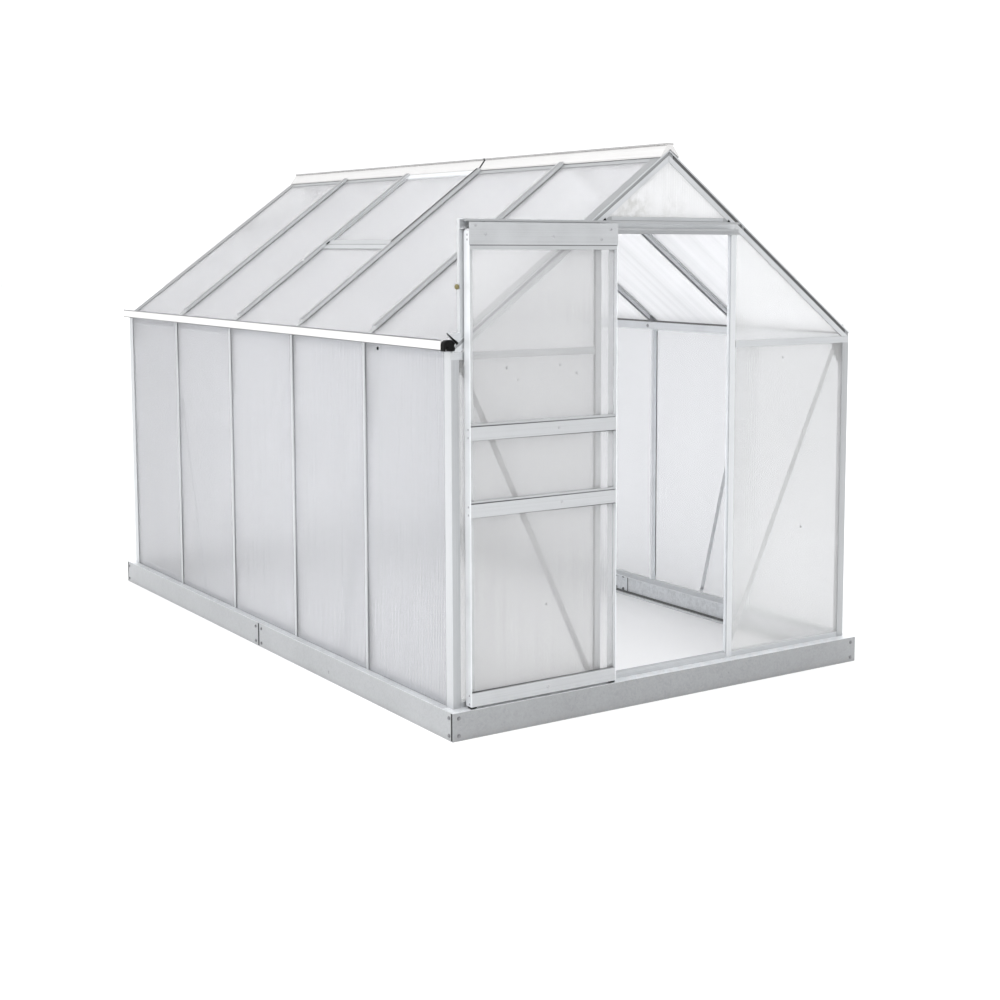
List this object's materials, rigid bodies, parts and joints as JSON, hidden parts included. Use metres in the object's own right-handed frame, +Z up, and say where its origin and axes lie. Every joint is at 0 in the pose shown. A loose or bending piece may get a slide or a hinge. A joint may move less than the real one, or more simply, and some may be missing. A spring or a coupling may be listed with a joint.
{
  "type": "greenhouse",
  "caption": "Walk-in gable-roof greenhouse: aluminium bars glazed with ribbed translucent sheets on a galvanised steel skirt, with a roof vent and a sliding front door.",
  "frame": {"origin": "on the ground at the middle of the footprint", "axes": "+X across the width, +Y along the ridge towards the back wall with the door at -Y, +Z up"},
  "size_m": [1.9, 3.2, 2.05],
  "materials": {
    "aluminium": "mill-finish silver aluminium, satin",
    "galvanised_steel": "galvanised sheet steel, dull with a faint spangle",
    "brace_steel": "zinc-plated flat strip",
    "polycarbonate": "milky translucent twin-wall sheet with fine ribs",
    "black_plastic": "moulded black plastic"
  },
  "bodies": {
    "frame": {"base_front": "galvanised_steel", "base_back": "galvanised_steel", "base_left": "galvanised_steel", "base_right": "galvanised_steel", "base_brackets": "galvanised_steel", "sill_front": "aluminium", "sill_back": "aluminium", "sill_left": "aluminium", "sill_right": "aluminium", "corner_posts": "aluminium", "left_studs": "aluminium", "right_studs": "aluminium", "door_jambs": "aluminium", "back_studs": "aluminium", "eave_beams": "aluminium", "gutters": "aluminium", "gutter_end_cap": "black_plastic", "eave_ties": "aluminium", "gable_rafters": "aluminium", "left_rafters": "aluminium", "right_rafters": "aluminium", "ridge_beam": "aluminium", "ridge_caps": "aluminium", "headers": "aluminium", "door_track": "aluminium", "track_strut": "aluminium", "end_wall_braces": "brace_steel", "side_wall_braces": "brace_steel", "eave_gussets": "brace_steel", "vent_frame": "aluminium", "vent_sill": "aluminium", "vent_pane": "polycarbonate", "left_wall_glazing": "polycarbonate", "right_wall_glazing": "polycarbonate", "left_roof_glazing": "polycarbonate", "right_roof_glazing": "polycarbonate", "front_wall_glazing": "polycarbonate", "back_wall_glazing": "polycarbonate", "gable_glazing": "polycarbonate"},
    "door": {"door_stiles": "aluminium", "door_hanger_plate": "aluminium", "door_rails": "aluminium", "door_panes": "polycarbonate", "door_rollers": "black_plastic", "door_guide_shoes": "black_plastic"}
  },
  "joints": [
    {"name": "door_slide", "type": "slide", "parent": "frame", "child": "door", "axis": [1, 0, 0], "range_m": [0, 0.5665]}
  ]
}
